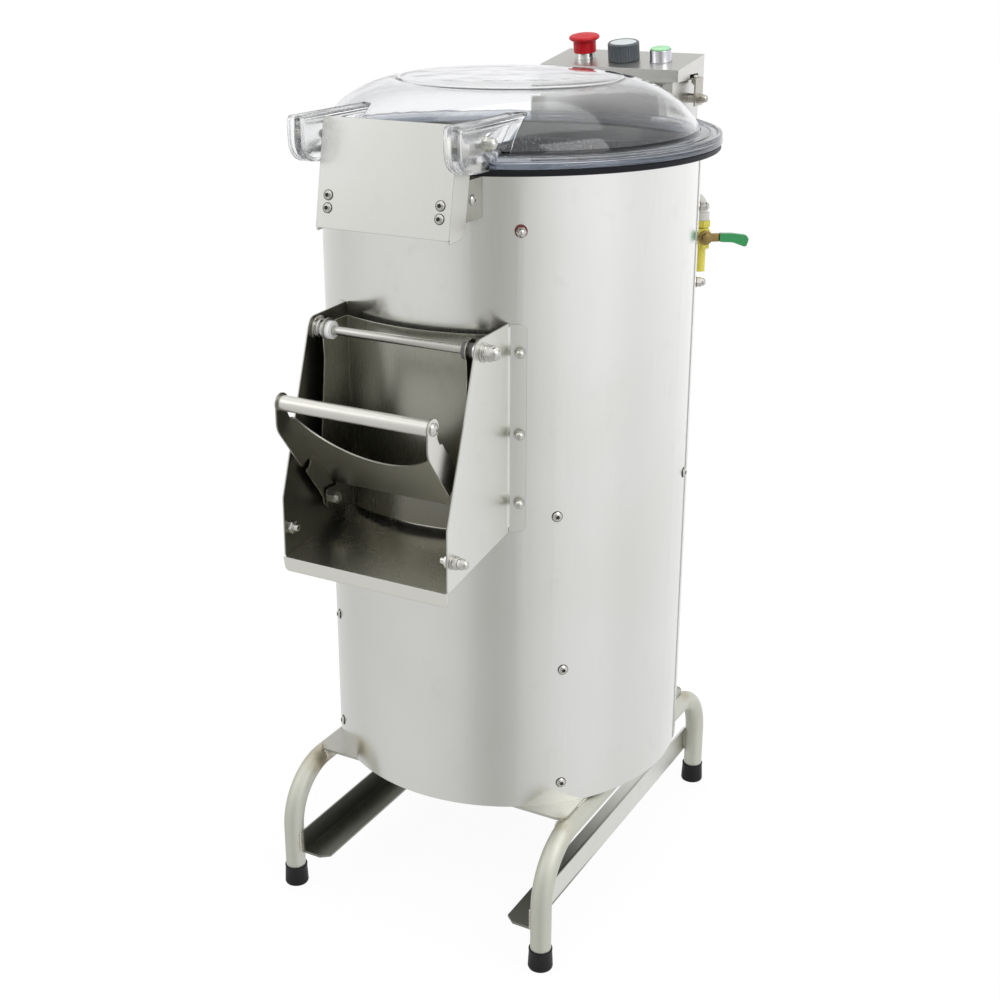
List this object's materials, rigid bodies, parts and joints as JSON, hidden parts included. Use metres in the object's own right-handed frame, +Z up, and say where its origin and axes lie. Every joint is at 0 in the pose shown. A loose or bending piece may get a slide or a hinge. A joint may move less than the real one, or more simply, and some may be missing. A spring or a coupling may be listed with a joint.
{
  "type": "potato peeler",
  "caption": "Upright drum peeler on a tubular stand: clear hinged lid, front discharge door with lever and chute, belt-driven abrasive disc, water valve and control box.",
  "frame": {"origin": "on the floor under the drum, at the middle of the overall footprint", "axes": "+Z up along the drum's axis, -Y towards the discharge chute, +X to the right when facing the chute from the front"},
  "size_m": [0.487, 0.7003, 1.0219],
  "materials": {
    "abrasive": "coarse grit in resin",
    "belt_rubber": "matt",
    "black_rubber": "matt",
    "bright_steel": "polished",
    "cast_grey": "cast",
    "clear_plastic": "clear polycarbonate",
    "dark_grey_plastic": "moulded",
    "dark_red_rubber": "moulded",
    "green_plastic": "moulded",
    "grey_rail": "satin",
    "motor_paint": "painted",
    "pale_grey_plastic": "moulded",
    "red_plastic": "moulded",
    "stainless": "satin",
    "white_plastic": "moulded",
    "yellow_brass": "yellow coated"
  },
  "bodies": {
    "frame": {"leg_tube_left": "stainless", "leg_tube_right": "stainless", "foot_caps": "black_rubber", "angle_rails": "grey_rail", "base_plate": "stainless", "base_ring": "stainless", "base_bolts": "bright_steel", "drum_skin": "stainless", "rim_seal": "black_rubber", "chamber_liner": "abrasive", "liner_bolts": "bright_steel", "seal_washers": "dark_red_rubber", "skin_screws": "bright_steel", "chamber_floor": "stainless", "drain_stub": "stainless", "bearing_housing": "cast_grey", "bearings": "bright_steel", "shaft_seal": "black_rubber", "drive_belt": "belt_rubber", "motor_shelf": "stainless", "motor": "motor_paint", "chute_side_left": "stainless", "chute_side_right": "stainless", "chute_floor": "stainless", "chute_nuts": "bright_steel", "door_rod": "bright_steel", "rod_nuts": "bright_steel", "latch_studs": "bright_steel", "hinge_bracket": "stainless", "bracket_angles": "stainless", "bracket_screws": "bright_steel", "hinge_bolts": "bright_steel", "electrics_box": "stainless", "box_mounts": "stainless", "box_cover_plate": "stainless", "box_straps": "stainless", "control_panel": "stainless", "stop_body": "bright_steel", "start_bezel": "white_plastic", "water_valve": "yellow_brass", "spray_pipe": "pale_grey_plastic"},
    "lid": {"lid": "clear_plastic"},
    "rotor": {"rotor_shaft": "bright_steel", "abrasive_disc": "abrasive", "disc_nut": "bright_steel", "driven_pulley": "cast_grey"},
    "motor_rotor": {"motor_shaft": "bright_steel", "motor_pulley": "cast_grey"},
    "door": {"discharge_door": "stainless", "door_seal": "black_rubber", "door_bushings": "white_plastic", "lever_pins": "bright_steel"},
    "lever": {"door_lever": "stainless", "lever_grip": "stainless", "grip_screws": "bright_steel"},
    "stop_plunger": {"stop_stem": "red_plastic"},
    "stop_cap": {"stop_head": "red_plastic"},
    "timer": {"timer_knob": "dark_grey_plastic"},
    "start": {"start_button": "green_plastic"},
    "valve_handle": {"valve_lever": "green_plastic"}
  },
  "joints": [
    {"name": "lid_hinge", "type": "hinge", "parent": "frame", "child": "lid", "pos_m": [0, -0.246, 0.953], "axis": [1, 0, 0], "range_deg": [0, 70]},
    {"name": "rotor_spin", "type": "hinge", "parent": "frame", "child": "rotor", "pos_m": [0, 0, 0.45], "axis": [0, 0, 1], "continuous": true},
    {"name": "motor_spin", "type": "hinge", "parent": "frame", "child": "motor_rotor", "pos_m": [0, 0.145, 0.36], "axis": [0, 0, 1], "continuous": true},
    {"name": "door_hinge", "type": "hinge", "parent": "frame", "child": "door", "pos_m": [0, -0.251, 0.742], "axis": [-1, 0, 0], "range_deg": [0, 75]},
    {"name": "lever_hinge", "type": "hinge", "parent": "door", "child": "lever", "pos_m": [0, -0.256, 0.549], "axis": [1, 0, 0], "range_deg": [0, 68.9]},
    {"name": "stop_press", "type": "slide", "parent": "frame", "child": "stop_plunger", "axis": [0, 0.158, -0.9874], "range_m": [0, 0.005]},
    {"name": "stop_twist", "type": "hinge", "parent": "stop_plunger", "child": "stop_cap", "pos_m": [-0.052, 0.30297, 1.00933], "axis": [0, -0.158, 0.9874], "range_deg": [-45, 0]},
    {"name": "timer_turn", "type": "hinge", "parent": "frame", "child": "timer", "pos_m": [0.004, 0.30534, 0.99452], "axis": [0, 0.158, -0.9874], "range_deg": [0, 300]},
    {"name": "start_press", "type": "slide", "parent": "frame", "child": "start", "axis": [0, 0.158, -0.9874], "range_m": [0, 0.003], "stiffness_N_per_m": 300, "springref_m": -0.002},
    {"name": "valve_turn", "type": "hinge", "parent": "frame", "child": "valve_handle", "pos_m": [0.1844, 0.14406, 0.804], "axis": [0.6157, -0.788, 0], "range_deg": [0, 90]}
  ],
  "couplings": [
    {"joint": "motor_spin", "follows": "rotor_spin", "ratio": 4}
  ]
}
